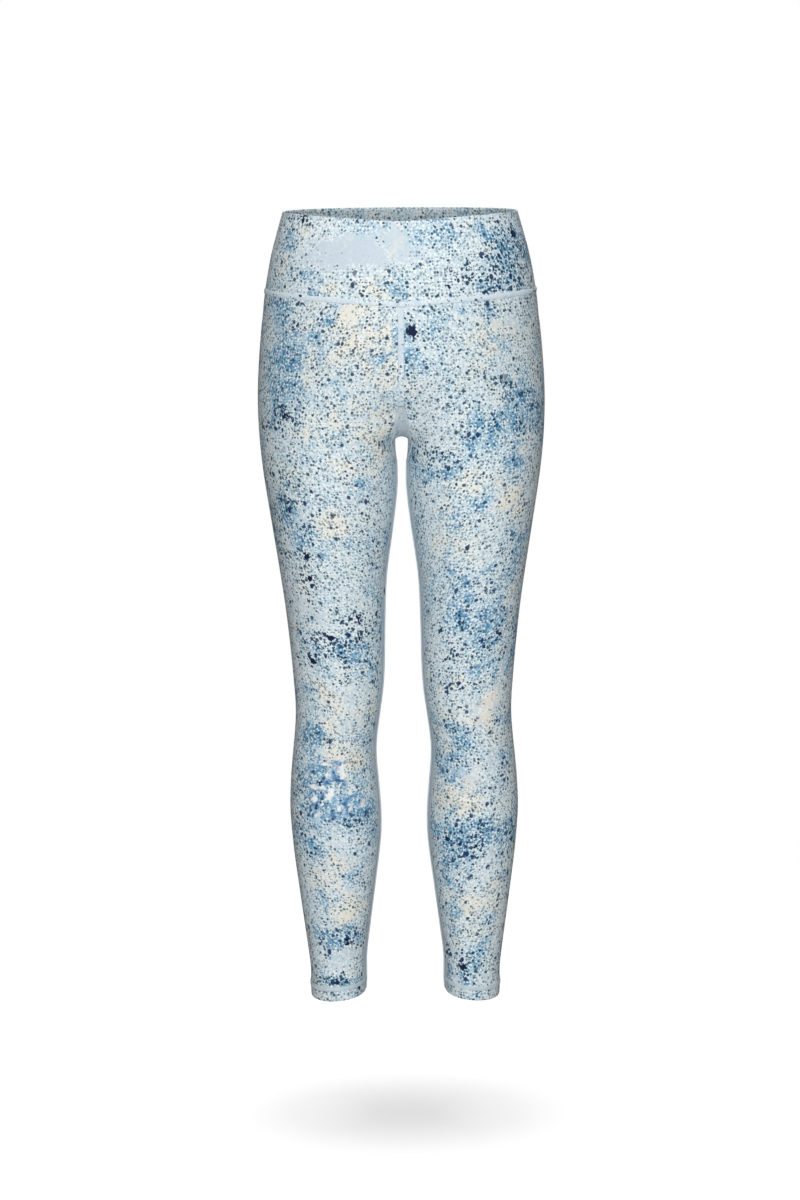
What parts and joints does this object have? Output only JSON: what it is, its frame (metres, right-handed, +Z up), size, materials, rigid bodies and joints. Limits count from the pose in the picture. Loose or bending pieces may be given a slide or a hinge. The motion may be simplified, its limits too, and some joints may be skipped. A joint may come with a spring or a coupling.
{
  "type": "leggings",
  "caption": "High-waisted seven-eighths leggings of speckled stretch knit, hollow, with a wide doubled waistband, gusset, flat seams and turned hems.",
  "frame": {"origin": "centre of the waist opening, level with the waistband's top edge at the sides, where the wearer's waist holds the garment", "axes": "+Z up along the wearer's body, +X to the wearer's left, -Y to the front"},
  "size_m": [0.3156, 0.2381, 0.8875],
  "materials": {
    "printed_knit": "smooth matt stretch knit, pale blue grey with a fine blue speckle",
    "plain_knit": "plain light blue grey stretch knit",
    "seam_thread": "pale blue textured thread"
  },
  "bodies": {
    "root": {"waistband": "printed_knit", "leg_left": "printed_knit", "leg_right": "printed_knit", "gusset": "plain_knit"}
  },
  "joints": []
}
